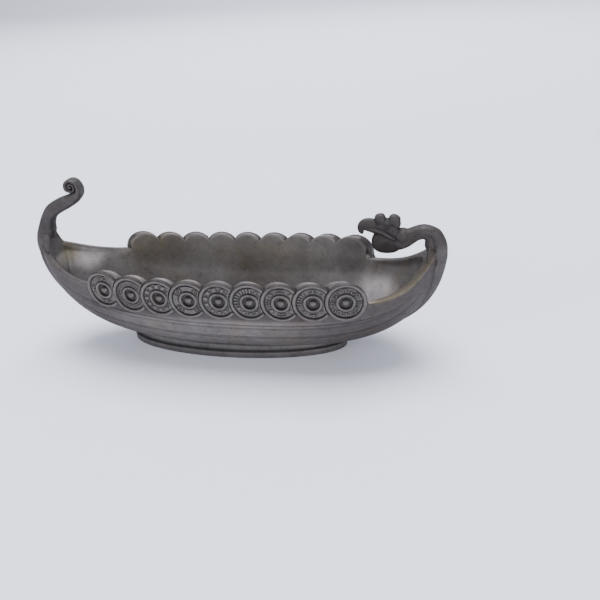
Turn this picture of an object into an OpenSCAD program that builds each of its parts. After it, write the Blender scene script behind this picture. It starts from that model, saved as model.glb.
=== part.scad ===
// Longship dish: a small cast table dish in the form of a Viking longship.
// A round-bilged hull stands on a hollow oval foot. Nine round shields overlap
// along each side, the sternpost ends in a scroll, and the prow rises into a
// neck that bends back over the bowl and carries a dragon's head.
// +X points to the bow, +Y to port and +Z up; z = 0 is the table, and x = 0 is
// half way between the two ends. Sizes are in millimetres.

/* [Hull] */
// Half breadth of the hull outside, at the gunwale amidships
half_beam = 20.9; // [20:0.1:22]
// Height of the keel above the table amidships
keel_height = 3; // [2.6:0.1:3.6]
// Thickness of the wall amidships
wall = 1.8; // [1.4:0.1:2.2]
// Rise of the rim's inner edge over its outer edge at the two ends
rim_bevel = 2; // [1.6:0.1:2.2]
// Height of the gunwale amidships
gunwale_height = 29; // [28:0.1:30]
// Fullness of the midship section, 2 being an ellipse
section_fullness = 2.8; // [2.4:0.1:3.2]
// Distance from amidships at which the gunwale begins to sweep up
sheer_start = 45; // [43:0.5:46]

/* [Stern] */
// Half length of the gunwale towards the stern
stern_gunwale_half = 72; // [71.5:0.5:72.5]
// Fullness of the gunwale's plan at the stern
stern_plan = 2.2; // [2:0.1:2.4]
// Width of the rim at the sternpost
stern_rim = 3.8; // [3.4:0.1:4.2]
// Half length of the keel line towards the stern
stern_keel_half = 73.3; // [73:0.1:73.6]
// Fullness of the keel line along the stern
stern_keel_run = 3.3; // [3.1:0.05:3.5]
// Fullness of the keel line up the stern
stern_keel_rise = 2.35; // [2.2:0.05:2.5]
// Height at which the keel line ends at the stern
stern_keel_top = 37.4; // [36.5:0.1:38]
// Fullness of the section at the stern, where it is nearly a V
stern_section = 1.5; // [1.4:0.1:1.8]
// Change of gunwale height from amidships to the stern sheer
stern_gunwale_step = 1.3; // [1:0.1:2]
// Upward sweep of the gunwale at the stern
stern_sheer = 8.9; // [8.5:0.1:9.2]
// Sharpness of the stern sheer
stern_sheer_power = 2.4; // [2.2:0.1:3]

/* [Bow] */
// Half length of the gunwale towards the bow
bow_gunwale_half = 71; // [70.5:0.5:71.5]
// Fullness of the gunwale's plan at the bow
bow_plan = 3.6; // [3.2:0.1:3.8]
// Width of the rim at the prow
bow_rim = 4.4; // [4:0.1:4.6]
// Half length of the keel line towards the bow
bow_keel_half = 71.3; // [71:0.1:71.6]
// Fullness of the keel line along the bow
bow_keel_run = 3.6; // [3.4:0.1:3.8]
// Fullness of the keel line up the bow
bow_keel_rise = 2.7; // [2.5:0.05:2.9]
// Height at which the keel line ends at the bow
bow_keel_top = 38.5; // [38:0.1:39]
// Fullness of the section at the bow, where it is nearly a V
bow_section = 1.45; // [1.4:0.05:1.8]
// Change of gunwale height from amidships to the bow sheer
bow_gunwale_step = -1.6; // [-2:0.1:-1]
// Upward sweep of the gunwale at the bow
bow_sheer = 12.6; // [12.2:0.1:12.9]
// Sharpness of the bow sheer
bow_sheer_power = 3.3; // [2.8:0.1:3.8]

/* [Shields] */
// Radius of a shield, and of the scalloped wall behind it
shield_r = 6.87; // [6.4:0.01:7]
// Spacing of the shields along the gunwale
shield_pitch = 10.5; // [10:0.1:10.7]
// Height of the shield centres amidships
shield_z = 28.3; // [27.8:0.1:28.8]
// Rise of the row of shields at its after end
shield_lift_aft = 1.2; // [0:0.1:1.6]
// Rise of the row of shields at its forward end
shield_lift_fore = 0.3; // [0:0.1:1]
// Thickness of a shield's field
shield_field = 0.8; // [0.6:0.1:1]
// Height of the rim and the rings above the field
shield_relief = 0.5; // [0.3:0.1:0.6]

/* [Foot] */
// Half length of the foot ring
foot_half = 41.5; // [38:0.5:43]
// Half breadth of the foot ring
foot_beam = 13.2; // [12:0.1:14]
// Centre of the foot ring, measured along the hull
foot_x = -1; // [-2:0.1:1]
// Height of the plain band that meets the table
foot_band = 2.4; // [1.8:0.1:2.6]
// Depth of the cove above the band
foot_cove = 1.2; // [0.8:0.1:1.6]
// Thickness of the ring at the table
foot_wall = 2.4; // [1.8:0.1:3]

/* [Ends] */
// Half width of the stem band at the top of the hull
stem_half_width = 1.8; // [1.4:0.1:2]
// Height of the stem bands over the planking at their low ends
stem_low = 0.4; // [0.3:0.1:0.5]
// Height of the stern band over the planking at its top
stern_band = 1.2; // [1:0.1:1.3]
// Height of the bow band over the planking at its top
bow_band = 3.3; // [3:0.1:3.4]
// Half width of the neck and the sternpost
post_half_width = 2.6; // [2.4:0.1:2.8]
// Radius of the scroll
scroll_r = 2.85; // [2.6:0.05:3]
// Extra radius where the sternpost runs into the scroll
scroll_flare = 2.1; // [1.6:0.1:2.2]
// Radius of the eye left at the middle of the scroll
scroll_eye = 0.3; // [0.3:0.1:0.6]

/* [Hidden] */
$fn = 64;

// The two ends of the hull, told apart by the sign of x
// [gunwale half length, plan, keel run, keel rise, keel top, section, step, sheer, sheer power, rim,
//  keel half length, height of the stem band]
STERN_FORM = [stern_gunwale_half, stern_plan, stern_keel_run, stern_keel_rise, stern_keel_top,
    stern_section, stern_gunwale_step, stern_sheer, stern_sheer_power, stern_rim,
    stern_keel_half, stern_band];
BOW_FORM = [bow_gunwale_half, bow_plan, bow_keel_run, bow_keel_rise, bow_keel_top,
    bow_section, bow_gunwale_step, bow_sheer, bow_sheer_power, bow_rim,
    bow_keel_half, bow_band];
function form(side) = side < 0 ? STERN_FORM : BOW_FORM;

// Half breadth left at the blunt tip of the hull
tip_half = 0.6;
// Reach of the bowl's inside at its bottom beyond its rim, at the ends
inner_overhang = 1.2;
// Depth of the bowl's inside at its two ends
inner_depth = 1.5;
// Rows of facets from the keel to the gunwale, and stations along each end
section_rows = 9;
end_stations = 9;
// Facet columns across one scallop of the wall, and angles down the last one
scallop_columns = 6;
scallop_end_angles = [60, 70, 80, 90];
// Distance beyond the last scallop at which the wall is back to the gunwale
scallop_step = 0.15;
// How far a piece is let into the one that it is soldered to
solder = 0.15;

SHIELDS = 9;
middle_shield = 5;
middle_shield_s = 0.4;

function clip(v) = min(max(v, 0), 1);
function spow(b, e) = b <= 0 ? 0 : pow(b, e);
function quad(a, b, c, d) = [[a, b, c], [a, c, d]];
function flat(list) = [for (group = list) for (item = group) item];

// ---- Form of the hull -------------------------------------------------------
// A station is given by its end (side -1 or 1) and q, 0 amidships and 1 at the
// tip. Skin 0 is the outside of the hull and skin 1 is the inside.

function gunwale_x(side, q, skin = 0) = (form(side)[0] - skin * form(side)[9]) * q;
function gunwale_y(side, q, skin = 0) = (half_beam - skin * wall) * sqrt(1 - spow(q, form(side)[1]));
function gunwale_z(side, q, skin = 0) =
    let (f = form(side), x = gunwale_x(side, q, skin), swept = clip((x - sheer_start) / (f[0] - sheer_start)))
    gunwale_height + f[6] * clip(x / sheer_start) + f[7] * spow(swept, f[8])
        + skin * rim_bevel * swept * swept;
function keel_x(side, q, skin = 0) =
    skin == 0 ? form(side)[10] * q : gunwale_x(side, q, skin) + inner_overhang * q;
function keel_z(side, q, skin = 0) =
    let (f = form(side), low = keel_height + skin * wall,
        top = skin == 0 ? f[4] : gunwale_z(side, 1, 1) - inner_depth)
    low + (top - low) * (1 - spow(1 - spow(q, f[2]), 1 / f[3]));
function fullness(side, q) = section_fullness + (form(side)[5] - section_fullness) * q * q;

// Point on the skin: phi runs from 0 at the keel to 90 at the gunwale
function hull_point(side, q, phi, skin) =
    let (n = fullness(side, q), f = spow(cos(phi), 2 / n), g = spow(sin(phi), 2 / n),
        xg = gunwale_x(side, q, skin), xk = keel_x(side, q, skin),
        zg = gunwale_z(side, q, skin), zk = keel_z(side, q, skin))
    [side * (xg + (xk - xg) * f), gunwale_y(side, q, skin) * g, zg - (zg - zk) * f];

// Height of the outside of the bottom above the table
function bottom_z(x, y) =
    let (side = x < 0 ? -1 : 1, q = abs(x) / form(side)[10], n = fullness(side, q),
        zg = gunwale_z(side, q), share = clip(abs(y) / gunwale_y(side, q)))
    zg - (zg - keel_z(side, q)) * spow(1 - spow(share, n), 1 / n);

// ---- Places along the gunwale ------------------------------------------------
// s is the distance along the gunwale from amidships, positive to the bow.

arc_reach = 60;
function gunwale_arc(side) =
    [for (x = 0, s = 0; x <= arc_reach;
        s = s + norm([1, gunwale_y(side, (x + 1) / form(side)[0]) - gunwale_y(side, x / form(side)[0])]),
        x = x + 1) [s, x]];
STERN_ARC = gunwale_arc(-1);
BOW_ARC = gunwale_arc(1);
function x_at(s) = s < 0 ? -lookup(-s, STERN_ARC) : lookup(s, BOW_ARC);

function shield_s(i) = middle_shield_s + (i - middle_shield) * shield_pitch;
function shield_centre_z(i) =
    let (x = x_at(shield_s(i)), reach = x_at(shield_s(SHIELDS)))
    shield_z + (x < 0 ? shield_lift_aft : shield_lift_fore) * pow(abs(x) / reach, 4);
// Heading of the gunwale at x, in degrees from +X on the port side
function gunwale_heading(x) =
    let (side = x < 0 ? -1 : 1, half = form(side)[0], d = 0.5)
    atan2(gunwale_y(side, (abs(x) + d) / half) - gunwale_y(side, max(abs(x) - d, 0) / half),
        abs(x) + d - max(abs(x) - d, 0)) * side;

// ---- Stations of the hull ------------------------------------------------------
// Each is [side, q, least height of the wall's top edge].

notch_angle = asin(shield_pitch / 2 / shield_r);
function station(s, top) =
    let (x = x_at(s), side = x < 0 ? -1 : 1, q = abs(x) / form(side)[0])
    [side, q, top];
function scallop_station(i, angle) =
    station(shield_s(i) + shield_r * sin(angle), shield_centre_z(i) + shield_r * cos(angle));
SCALLOPS = concat(
    [station(shield_s(1) - shield_r - scallop_step, 0)],
    [for (k = [len(scallop_end_angles) - 1 : -1 : 0]) scallop_station(1, -scallop_end_angles[k])],
    [for (i = [1 : SHIELDS], k = [0 : scallop_columns - 1])
        scallop_station(i, notch_angle * (2 * k / scallop_columns - 1))],
    [scallop_station(SHIELDS, notch_angle)],
    [for (a = scallop_end_angles) scallop_station(SHIELDS, a)],
    [station(shield_s(SHIELDS) + shield_r + scallop_step, 0)]);
// Stations from the scallops out to the blunt tip, closer together near the tip
function end_run(side, q_start) =
    let (f = form(side), q_tip = pow(1 - pow(tip_half / half_beam, 2), 1 / f[1]),
        t0 = asin(pow(q_start, f[2] / 2)), t1 = asin(pow(q_tip, f[2] / 2)))
    [for (k = [1 : end_stations]) let (q = pow(sin(t0 + (t1 - t0) * k / end_stations), 2 / f[2]))
        [side, q, 0]];
STERN_RUN = end_run(-1, SCALLOPS[0][1]);
STATIONS = concat([for (k = [end_stations - 1 : -1 : 0]) STERN_RUN[k]], SCALLOPS,
    end_run(1, SCALLOPS[len(SCALLOPS) - 1][1]));

// One row of points: port edge, down to the keel and up to the starboard edge
function skin_row(st, skin) =
    [for (r = [-section_rows : section_rows])
        let (p = hull_point(st[0], st[1], 90 * abs(r) / section_rows, skin),
            top = abs(r) == section_rows ? st[2] : 0)
        [p.x, (r < 0 ? 1 : -1) * p.y, max(p.z, top)]];

module hull() {
    stations = len(STATIONS);
    wide = 2 * section_rows;
    row = wide + 1;
    inner = stations * row;
    points = flat([for (skin = [0, 1]) flat([for (st = STATIONS) skin_row(st, skin)])]);
    outer_faces = [for (j = [0 : stations - 2], r = [0 : wide - 1])
        each quad(j * row + r, j * row + r + 1, (j + 1) * row + r + 1, (j + 1) * row + r)];
    inner_faces = [for (j = [0 : stations - 2], r = [0 : wide - 1])
        each quad(inner + (j + 1) * row + r, inner + (j + 1) * row + r + 1,
            inner + j * row + r + 1, inner + j * row + r)];
    rim_faces = [for (j = [0 : stations - 2])
        each concat(
            quad((j + 1) * row, inner + (j + 1) * row, inner + j * row, j * row),
            quad(j * row + wide, inner + j * row + wide, inner + (j + 1) * row + wide, (j + 1) * row + wide))];
    // The blunt tips close row by row across the centre plane
    last = (stations - 1) * row;
    function zip_faces(base, turned) = [for (r = [0 : section_rows - 1])
        let (a = base + r, b = base + r + 1, c = base + wide - r - 1, d = base + wide - r)
        each b == c ? [turned ? [d, b, a] : [a, b, d]] : turned ? quad(d, c, b, a) : quad(a, b, c, d)];
    tip_faces = concat(zip_faces(0, true), zip_faces(last, false),
        zip_faces(inner, false), zip_faces(inner + last, true),
        quad(0, inner, inner + wide, wide), quad(last + wide, inner + last + wide, inner + last, last));
    color([0.45, 0.44, 0.41])
        polyhedron(points, concat(outer_faces, inner_faces, rim_faces, tip_faces), convexity = 6);
}

// ---- Foot ring -------------------------------------------------------------------
foot_columns = 64;
foot_round = 0.4;
// Outline of the ring's section: [inset from the outer edge, height, 1 if it meets the hull]
FOOT_SECTION = [[0, 0, 0], [0, foot_band, 0], [foot_round, foot_band + foot_round, 0],
    [foot_cove, foot_band + 2 * foot_round, 0], [foot_cove, 0, 1],
    [foot_cove + foot_wall, 0, 1], [foot_wall, 0, 0]];
function foot_point(angle, corner) =
    let (n = [cos(angle) / foot_half, sin(angle) / foot_beam],
        p = [foot_x + foot_half * cos(angle), foot_beam * sin(angle)] - corner[0] * n / norm(n))
    [p.x, p.y, corner[2] == 1 ? bottom_z(p.x, p.y) + solder : corner[1]];

module foot_ring() {
    corners = len(FOOT_SECTION);
    points = [for (k = [0 : foot_columns - 1], corner = FOOT_SECTION)
        foot_point(360 * k / foot_columns, corner)];
    faces = [for (k = [0 : foot_columns - 1], c = [0 : corners - 1])
        let (k2 = (k + 1) % foot_columns, c2 = (c + 1) % corners)
        each quad(k * corners + c, k * corners + c2, k2 * corners + c2, k2 * corners + c)];
    color([0.5, 0.49, 0.46]) polyhedron(points, faces, convexity = 6);
}

// ---- Posts: ribs between an outer and an inner edge in the centre plane ------------
// A rib is [outer x, outer z, inner x, inner z, half width].

post_corner = 3;
rib_points = 16;
function rib_ring(rib) =
    let (mid = [(rib[0] + rib[2]) / 2, (rib[1] + rib[3]) / 2],
        arm = [(rib[0] - rib[2]) / 2, (rib[1] - rib[3]) / 2])
    [for (k = [0 : rib_points - 1])
        let (a = 360 * (k + 0.5) / rib_points,
            u = sign(cos(a)) * pow(abs(cos(a)), 2 / post_corner),
            v = sign(sin(a)) * pow(abs(sin(a)), 2 / post_corner))
        [mid[0] + arm[0] * u, rib[4] * v, mid[1] + arm[1] * u]];
// Smooth run of ribs through the given ones
function between(a, b, c, d, t) =
    (2 * b + (c - a) * t + (2 * a - 5 * b + 4 * c - d) * t * t + (3 * b - a - 3 * c + d) * t * t * t) / 2;
function smooth(ribs, steps) =
    let (last = len(ribs) - 1)
    concat([for (k = [0 : last - 1], j = [0 : steps - 1])
        between(ribs[max(k - 1, 0)], ribs[k], ribs[k + 1], ribs[min(k + 2, last)], j / steps)],
        [ribs[last]]);

module post(ribs, turned) {
    points = flat([for (rib = ribs) rib_ring(rib)]);
    last = (len(ribs) - 1) * rib_points;
    sides = [for (k = [0 : len(ribs) - 2], c = [0 : rib_points - 1])
        let (c2 = (c + 1) % rib_points, a = k * rib_points, b = a + rib_points)
        each turned ? quad(b + c, b + c2, a + c2, a + c) : quad(a + c, a + c2, b + c2, b + c)];
    ends = [[for (c = [0 : rib_points - 1]) turned ? c : rib_points - 1 - c],
        [for (c = [0 : rib_points - 1]) last + (turned ? rib_points - 1 - c : c)]];
    polyhedron(points, concat(sides, ends), convexity = 8);
}

// Ribs of the stem band, which climbs the keel line and grows deeper as it rises
stem_start = 0.8;
stem_ribs_count = 8;
stem_growth = 1.6;
function stem_rib(side, q, share) =
    let (d = 0.002, f = form(side), here = [keel_x(side, q), keel_z(side, q)],
        run = [keel_x(side, d), keel_z(side, q) - keel_z(side, q - d)],
        out = [run[1], -run[0]] / norm(run),
        o = here + out * (stem_low + (f[11] - stem_low) * pow(share, stem_growth)),
        i = here - out * solder)
    [side * o[0], o[1], side * i[0], i[1], stem_half_width * (0.4 + 0.6 * sqrt(share))];
function stem_ribs(side) =
    [for (k = [0 : stem_ribs_count])
        let (t0 = asin(pow(stem_start, form(side)[2] / 2)), share = k / stem_ribs_count,
            q = pow(sin(t0 + (90 - t0) * share), 2 / form(side)[2]))
        stem_rib(side, q, share)];

// Neck, head and beak, from the top of the bow to the tip of the beak
NECK_RIBS = [
    [73.1, 43.6, 66.8, 40.6, 1.0], [72.3, 44.9, 66.8, 42.2, 1.0], [71.0, 46.1, 66.5, 42.7, 1.0],
    [68.4, 47.2, 66.1, 42.9, 1.0], [65.9, 47.5, 65.1, 42.6, 1.0], [63.6, 46.9, 63.4, 41.4, 1.0],
    [61.4, 46.1, 61.4, 39.9, 1.0], [59.4, 45.8, 59.2, 38.8, 1.0], [58.2, 46.9, 57.4, 38.3, 1.0],
    [57.2, 50.2, 56.2, 37.9, 1.0], [56.0, 50.4, 55.2, 37.9, 1.0], [54.6, 49.4, 54.2, 37.9, 1.0],
    [53.5, 49.7, 53.2, 38.0, 1.0], [52.4, 50.8, 52.0, 38.3, 1.0], [51.2, 50.5, 50.9, 39.2, 0.9],
    [50.4, 49.3, 49.9, 41.2, 0.8], [49.6, 48.9, 49.4, 44.2, 0.7], [48.6, 49.1, 48.3, 45.5, 0.6],
    [47.2, 49.0, 47.2, 45.6, 0.5], [45.9, 48.3, 46.4, 45.0, 0.4], [45.0, 46.8, 45.6, 45.0, 0.25]];
module dragon_prow() {
    widths = [for (r = NECK_RIBS) [r[0], r[1], r[2], r[3], r[4] * post_half_width]];
    root = [[74.3, 40.4, 70.9, 39.7, stem_half_width + 0.3], [74.0, 41.4, 68.8, 37.9, stem_half_width + 0.6],
        [73.6, 42.4, 66.7, 36.4, post_half_width]];
    color([0.42, 0.41, 0.38]) post(concat(stem_ribs(1), root, smooth(widths, 2)), true);
}

// Sternpost, from the top of the stern to where the scroll begins
POST_RIBS = [
    [-73.7, 41.5, -65.0, 40.2, 1.0], [-72.7, 44.0, -65.8, 43.0, 1.0], [-71.3, 46.6, -65.9, 46.4, 1.0],
    [-69.4, 49.9, -64.5, 48.9, 1.0], [-66.5, 53.5, -61.6, 50.8, 1.0], [-62.2, 55.9, -57.7, 52.7, 1.0],
    [-59.0, 57.0, -54.6, 54.5, 0.9]];
// The scroll turns about its eye, from below right round to the crease where it meets the post
scroll_centre = [-55.2, 60.5];
scroll_ribs = 14;
scroll_from = -60;
scroll_to = 215;
scroll_round_from = 40;
function scroll_rib(share) =
    let (a = scroll_from + (scroll_to - scroll_from) * share, dir = [cos(a), sin(a)],
        flare = clip((scroll_round_from - a) / (scroll_round_from - scroll_from)),
        o = scroll_centre + (scroll_r + scroll_flare * flare * flare) * dir,
        i = scroll_centre + scroll_eye * dir)
    [i[0], i[1], o[0], o[1], 0.85 * post_half_width];
module stern_scroll() {
    widths = [for (r = POST_RIBS) [r[0], r[1], r[2], r[3], r[4] * post_half_width]];
    root = [[-74.3, 39.2, -72.0, 39.1, stem_half_width + 0.3],
        [-74.0, 40.3, -64.4, 38.2, post_half_width]];
    curl = [for (k = [0 : scroll_ribs]) scroll_rib(k / scroll_ribs)];
    color([0.42, 0.41, 0.38]) post(concat(stem_ribs(-1), root, smooth(widths, 2), curl), false);
}

// ---- Shields -----------------------------------------------------------------------
// Profile of a shield, turned about its own axis: rim, sunken field, ring, groove and boss
ring_r = 0.38;
groove_r = 0.27;
boss_r = 0.17;
module shield_profile() {
    top = shield_field + shield_relief;
    polygon([[0, 0], [shield_r, 0], [shield_r, shield_field], [0.97 * shield_r, top],
        [0.86 * shield_r, top], [0.8 * shield_r, shield_field],
        [(ring_r + 0.04) * shield_r, shield_field], [ring_r * shield_r, top],
        [(groove_r + 0.04) * shield_r, top], [groove_r * shield_r, shield_field / 2],
        [boss_r * shield_r, shield_field / 2], [0.8 * boss_r * shield_r, top], [0, top + 0.2]]);
}
// Puts its children's z axis square to the hull at shield i; side is -1 to starboard, 1 to port
module at_shield(i, side) {
    x = x_at(shield_s(i));
    end = x < 0 ? -1 : 1;
    heading = gunwale_heading(x);
    y = gunwale_y(end, abs(x) / form(end)[0]);
    translate([x, side * (y - solder), shield_centre_z(i)])
        rotate([0, 0, side * heading])
            rotate([-side * 90, 0, 0])
                children();
}
// Each shield is cut back where the next one forward laps over it
module shield(i, side) {
    color([0.48, 0.47, 0.43])
        difference() {
            at_shield(i, side) rotate_extrude() shield_profile();
            if (i < SHIELDS) {
                at_shield(i + 1, side) translate([0, 0, -3]) cylinder(r = shield_r + 0.02, h = 8);
            }
        }
}

hull();
foot_ring();
dragon_prow();
stern_scroll();
shield(1, -1);  // shield_starboard_1
shield(2, -1);  // shield_starboard_2
shield(3, -1);  // shield_starboard_3
shield(4, -1);  // shield_starboard_4
shield(5, -1);  // shield_starboard_5
shield(6, -1);  // shield_starboard_6
shield(7, -1);  // shield_starboard_7
shield(8, -1);  // shield_starboard_8
shield(9, -1);  // shield_starboard_9
shield(1, 1);  // shield_port_1
shield(2, 1);  // shield_port_2
shield(3, 1);  // shield_port_3
shield(4, 1);  // shield_port_4
shield(5, 1);  // shield_port_5
shield(6, 1);  // shield_port_6
shield(7, 1);  // shield_port_7
shield(8, 1);  // shield_port_8
shield(9, 1);  // shield_port_9
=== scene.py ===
"""Longship dish in aged pewter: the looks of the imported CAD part.

Every CAD node is stood for by a finely modelled piece of the same shape and size, and the hull also by
the two flares from which the posts rise. Lengths are in millimetres until a mesh is made. +X points to
the bow, +Y to port and +Z up, as in part.scad.
"""

import math

import bpy
import numpy as np
from mathutils import Matrix, Vector
from mathutils.bvhtree import BVHTree


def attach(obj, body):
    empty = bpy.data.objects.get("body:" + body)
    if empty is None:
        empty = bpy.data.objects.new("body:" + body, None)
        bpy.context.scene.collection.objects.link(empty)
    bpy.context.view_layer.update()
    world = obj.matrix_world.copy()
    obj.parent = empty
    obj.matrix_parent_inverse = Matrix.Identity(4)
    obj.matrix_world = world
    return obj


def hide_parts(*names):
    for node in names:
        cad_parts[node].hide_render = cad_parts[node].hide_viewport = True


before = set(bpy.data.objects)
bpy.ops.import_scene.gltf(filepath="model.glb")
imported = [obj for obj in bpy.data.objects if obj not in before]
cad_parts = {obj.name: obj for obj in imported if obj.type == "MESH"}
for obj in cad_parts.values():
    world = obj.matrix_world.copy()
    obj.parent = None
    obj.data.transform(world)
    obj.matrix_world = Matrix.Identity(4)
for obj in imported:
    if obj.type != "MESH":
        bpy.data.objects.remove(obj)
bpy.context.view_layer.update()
MM = 0.001

# ---- Driving dimensions, as in part.scad ----

HALF_BEAM = 20.9
KEEL_HEIGHT = 3.0
WALL = 1.8
RIM_BEVEL = 2.0
GUNWALE_HEIGHT = 29.0
SECTION_FULLNESS = 2.8
SHEER_START = 45.0
TIP_HALF = 0.6
INNER_OVERHANG = 1.2
INNER_DEPTH = 1.5

STERN = dict(half=72.0, plan=2.2, rim=3.8, keel_half=73.3, run=3.3, rise=2.35, keel_top=37.4,
             section=1.5, step=1.3, sheer=8.9, power=2.4, band=1.2, ease=4.0)
BOW = dict(half=71.0, plan=3.6, rim=4.4, keel_half=71.3, run=3.6, rise=2.7, keel_top=38.5,
           section=1.45, step=-1.6, sheer=12.6, power=3.3, band=3.3, ease=-0.4)

SHIELDS = 9
SHIELD_R = 6.87
SHIELD_PITCH = 10.5
SHIELD_Z = 28.3
SHIELD_LIFT_AFT = 1.2
SHIELD_LIFT_FORE = 0.3
SHIELD_FIELD = 0.8
SHIELD_RELIEF = 0.5
MIDDLE_SHIELD = 5
MIDDLE_SHIELD_S = 0.4
SOLDER = 0.15

FOOT_HALF = 41.5
FOOT_BEAM = 13.2
FOOT_X = -1.0
FOOT_BAND = 2.4
FOOT_COVE = 1.2
FOOT_WALL = 2.4

STEM_HALF_WIDTH = 1.8
STEM_LOW = 0.4
POST_HALF_WIDTH = 2.6
SCROLL_CENTRE = (-55.2, 60.5)


# ---- Small helpers ----

def smoothstep(low, high, v):
    t = np.clip((v - low) / (high - low), 0, 1)
    return t * t * (3 - 2 * t)


def falling(low, high, v):
    """1 up to `low`, 0 from `high` on."""
    return 1 - smoothstep(low, high, v)


def most(*values):
    """The greatest of several arrays, point by point."""
    return np.maximum.reduce(values)


def between(points, steps):
    """A smooth run of rows through the given rows (Catmull-Rom)."""
    p = np.asarray(points, float)
    last = len(p) - 1
    rows = []
    for k in range(last):
        a, b, c, d = p[max(k - 1, 0)], p[k], p[k + 1], p[min(k + 2, last)]
        for j in range(steps):
            t = j / steps
            rows.append((2 * b + (c - a) * t + (2 * a - 5 * b + 4 * c - d) * t * t
                         + (3 * b - a - 3 * c + d) * t ** 3) / 2)
    rows.append(p[last])
    return np.array(rows)


def ripple(p, size, seed):
    """A soft, fixed unevenness of about -1 to 1, with waves of about `size` millimetres."""
    rng = np.random.default_rng(seed)
    total = np.zeros(len(p))
    for _ in range(14):
        way = rng.normal(size=3)
        way *= 2 * math.pi / (size * rng.uniform(0.7, 1.6) * np.linalg.norm(way))
        total += np.sin(p @ way + rng.uniform(0, 2 * math.pi))
    return total / 5


def faces_volume(points, faces):
    """Signed volume inside triangles or quads."""
    total = 0.0
    for k in range(2, faces.shape[1]):
        a, b, c = (points[faces[:, j]] for j in (0, k - 1, k))
        total += np.einsum("ij,ij->i", a, np.cross(b, c)).sum()
    return total / 6


def tube_faces(rings, count, closed=False):
    """Quads between neighbouring rings of `count` points, in a tube or a closed loop of rings."""
    first = np.arange(rings if closed else rings - 1)[:, None] * count
    after = (first + count) % (rings * count)
    c, c2 = np.arange(count)[None, :], (np.arange(count)[None, :] + 1) % count
    return np.stack([first + c, first + c2, after + c2, after + c], -1).reshape(-1, 4)


def zip_ends(rings, count):
    """Closes both ends of a tube whose rings mirror themselves, pair by pair across the centre plane."""
    half = count // 2
    quads = np.array([(k, k + 1, count - k - 1, count - k) for k in range(1, half - 1)])
    triangles = np.array([(0, 1, count - 1), (half - 1, half, half + 1)])
    last = (rings - 1) * count
    return [np.concatenate([faces[:, ::-1], faces + last]) for faces in (quads, triangles)]


def put(name, data):
    """A new object in the scene."""
    obj = bpy.data.objects.new(name, data)
    bpy.context.scene.collection.objects.link(obj)
    return obj


class Shape:
    """Points and faces gathered in millimetres, then made into one mesh object."""

    def __init__(self):
        self.points, self.faces, self.count = [], [], 0

    def add(self, points, groups):
        """Adds one closed shell, given as points and arrays of faces, and turns it outside out."""
        points = np.asarray(points, float).reshape(-1, 3)
        inside_out = sum(faces_volume(points, g) for g in groups) < 0
        for g in groups:
            self.faces.append((g[:, ::-1] if inside_out else g) + self.count)
        self.points.append(points)
        self.count += len(points)
        return self

    def object(self, name):
        points = np.concatenate(self.points) * MM
        sizes = np.concatenate([np.full(len(g), g.shape[1]) for g in self.faces])
        corners = np.concatenate([g.ravel() for g in self.faces])
        mesh = bpy.data.meshes.new(name)
        mesh.vertices.add(len(points))
        mesh.vertices.foreach_set("co", points.ravel())
        mesh.loops.add(len(corners))
        mesh.loops.foreach_set("vertex_index", corners.astype(np.int32))
        mesh.polygons.add(len(sizes))
        mesh.polygons.foreach_set("loop_start", (np.cumsum(sizes) - sizes).astype(np.int32))
        mesh.update(calc_edges=True)
        mesh.validate()
        mesh.shade_smooth()
        return put(name, mesh)


def fan_ends(rings, count):
    """Closes both ends of a tube of rings, each with a fan of triangles."""
    fan = np.array([(0, k, k + 1) for k in range(1, count - 1)])
    return [count - 1 - fan, (rings - 1) * count + fan]


def tube(shape, rings):
    """Adds a closed tube of rings to a shape."""
    rings = np.asarray(rings)
    total, count = rings.shape[:2]
    return shape.add(rings, [tube_faces(total, count)] + fan_ends(total, count))


def finish_piece(obj, nodes, slot, material, oxide_and_shade, **looks):
    """Marks the surface at each point, dresses the piece and puts it on the frame.

    `oxide_and_shade` says how hollows are found: over how many rounds of softening, and how deep a deep one
    is, in millimetres; the material darkens hollows and lightens edges, partly as oxide, partly as painted
    shade.
    `looks` holds functions of points and normals for patina, rubbed and stain: tarnish with painted shade,
    wear with painted highlights, and stains."""
    points, normals = places(obj.data), read(obj.data.vertices, "normal", 3, float)
    rounds, deep = oxide_and_shade
    mark(obj, "hollow", 0.5 + 0.5 * np.tanh(hollow_depth(obj, points, normals, rounds) / deep))
    for name in ("patina", "rubbed", "stain"):
        mark(obj, name, looks[name](points, normals) if name in looks else np.zeros(len(points)))
    obj.data.materials.append(material)
    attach(obj, "root")
    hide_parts(*nodes)


def read(items, what, width=1, kind=np.int32):
    """Rows of so many values, one row for each of a mesh's items."""
    values = np.zeros(len(items) * width, kind)
    items.foreach_get(what, values)
    return values.reshape(-1, width)


def places(mesh):
    """The mesh's points in millimetres."""
    return read(mesh.vertices, "co", 3, float) / MM


def mark(obj, name, values):
    """A number from 0 to 1 at each point, for the material to read."""
    attribute = obj.data.attributes.new(name, "FLOAT", "POINT")
    attribute.data.foreach_set("value", np.clip(values, 0, 1).astype(np.float32))


def hollow_depth(obj, co, normal, rounds):
    """How far each point lies under the softened surface, in millimetres: grooves above 0, edges below."""
    n = len(co)
    a, b = read(obj.data.edges, "vertices", 2).T
    links = np.maximum(np.bincount(a, minlength=n) + np.bincount(b, minlength=n), 1)[:, None]

    def settle(values):
        total = np.stack([np.bincount(a, values[b, k], n) + np.bincount(b, values[a, k], n)
                          for k in range(values.shape[1])], -1)
        return total / links

    soft = co
    for _ in range(rounds):
        soft = 0.5 * soft + 0.5 * settle(soft)
    depth = np.einsum("ij,ij->i", soft - co, normal)[:, None]
    return settle(depth)[:, 0]


# ---- Form of the hull ----
# q runs from 0 amidships to 1 at an end, and phi from 0 at the keel to 90 degrees at the gunwale.
# Skin 0 is the outside and skin 1 is the inside.

def end_of(side):
    return STERN if side < 0 else BOW


def gunwale_x(side, q, skin=0):
    form = end_of(side)
    return (form["half"] - skin * form["rim"]) * q


def gunwale_y(side, q, skin=0):
    return (HALF_BEAM - skin * WALL) * np.sqrt(np.maximum(1 - q ** end_of(side)["plan"], 0))


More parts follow.
